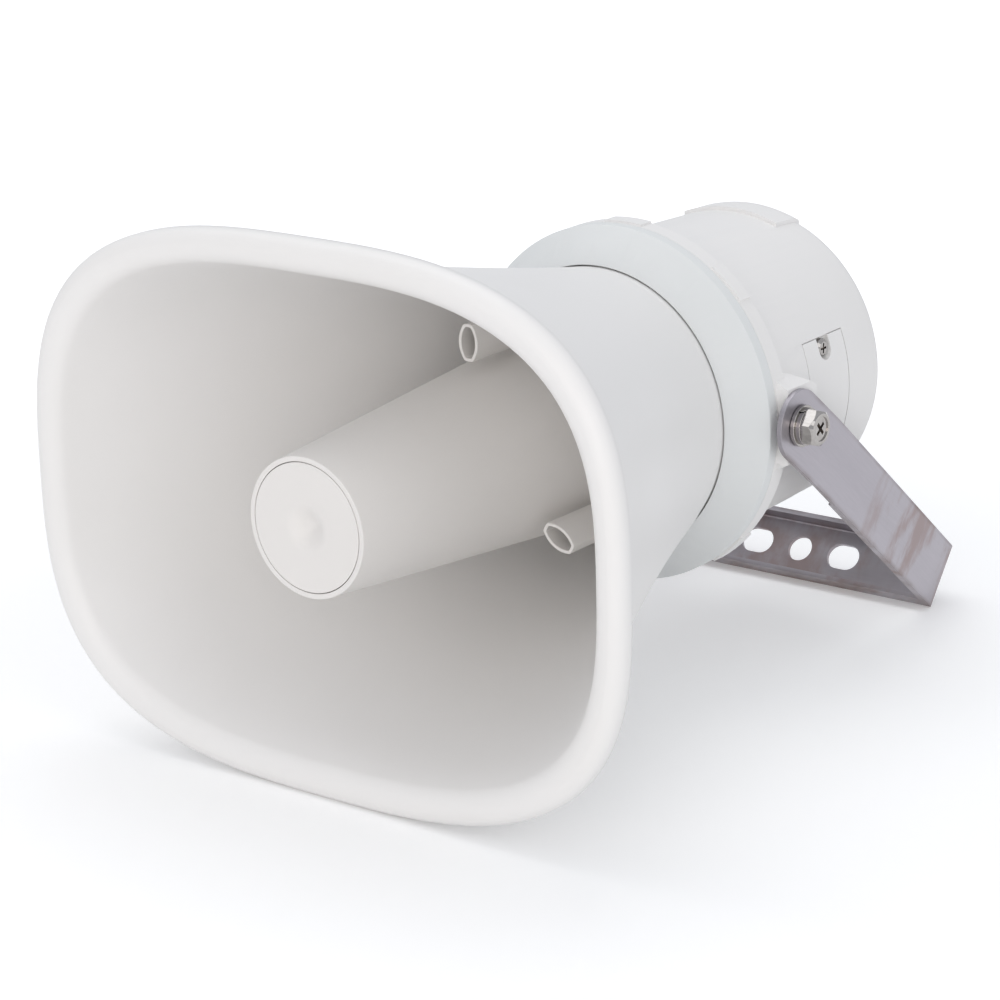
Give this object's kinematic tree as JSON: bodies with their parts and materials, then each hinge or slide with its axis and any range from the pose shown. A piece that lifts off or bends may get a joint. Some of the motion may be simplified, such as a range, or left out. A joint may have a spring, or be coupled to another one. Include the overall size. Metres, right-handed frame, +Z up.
{
  "type": "paging horn loudspeaker",
  "caption": "Re-entrant paging horn with a rounded rectangular flare, a round driver can behind a beveled ring, and a U bracket that tilts on side bolts.",
  "frame": {"origin": "on the floor under the middle of the bounding box, the object standing on its lip and the bracket's foot", "axes": "+Y from the mouth towards the rear, level; the horn's axis rises 1.1 degrees towards the rear, because the horn rests on its lip and on the bracket's foot; +Z up, +X towards the side with the small cover"},
  "size_m": [0.2618, 0.3268, 0.2009],
  "materials": {
    "shell_plastic": "fine-textured, off-white",
    "ring_plastic": "satin, cool off-white",
    "inner_plastic": "satin, off-white",
    "bracket_steel": "dull, with brownish tarnish near the bends",
    "bolt_steel": "bright plated",
    "plated_steel": "zinc plated",
    "black_rubber": "matt",
    "black_plastic": "satin black",
    "insert_brass": "machined",
    "ferrite": "dark sintered",
    "die_cast": "die cast",
    "lamination_steel": "stacked sheets, varnished",
    "copper_wire": "enamelled copper wire",
    "film": "thin moulded film"
  },
  "bodies": {
    "bracket": {"u_bracket": "bracket_steel"},
    "horn": {"flare": "shell_plastic", "neck_gasket": "black_rubber", "clamp_ring": "ring_plastic", "horn_base": "inner_plastic", "base_screws": "plated_steel", "reflector_tube": "inner_plastic", "reflector_cap": "inner_plastic", "tone_arm": "inner_plastic", "driver_screws": "plated_steel", "throat_plate": "die_cast", "phase_plug": "inner_plastic", "edge_suspension": "film", "top_plate": "plated_steel", "magnet_ring": "ferrite", "pole_yoke": "plated_steel", "transformer_core": "lamination_steel", "transformer_winding": "copper_wire", "transformer_frame": "plated_steel", "transformer_screws": "plated_steel", "terminal_block": "black_plastic", "terminal_screws": "plated_steel", "rear_can": "shell_plastic", "side_cover": "shell_plastic", "cover_gasket": "black_rubber", "cover_screw": "bolt_steel", "gland_body": "black_plastic", "gland_nut": "black_plastic", "gland_seal": "black_rubber", "insert_left": "insert_brass", "insert_right": "insert_brass", "bolt_left": "bolt_steel", "bolt_right": "bolt_steel", "spring_washer_left": "bolt_steel", "spring_washer_right": "bolt_steel", "flat_washer_left": "bolt_steel", "flat_washer_right": "bolt_steel"},
    "diaphragm": {"diaphragm": "film", "voice_coil": "copper_wire"}
  },
  "joints": [
    {"name": "bracket_pivot", "type": "hinge", "parent": "bracket", "child": "horn", "pos_m": [0, 0.0339, 0.10402], "axis": [1, 0, 0], "range_deg": [-170, 95]},
    {"name": "diaphragm_travel", "type": "slide", "parent": "horn", "child": "diaphragm", "axis": [0, 0.9998, 0.0186], "range_m": [-0.0003, 0.0003], "stiffness_N_per_m": 200}
  ]
}
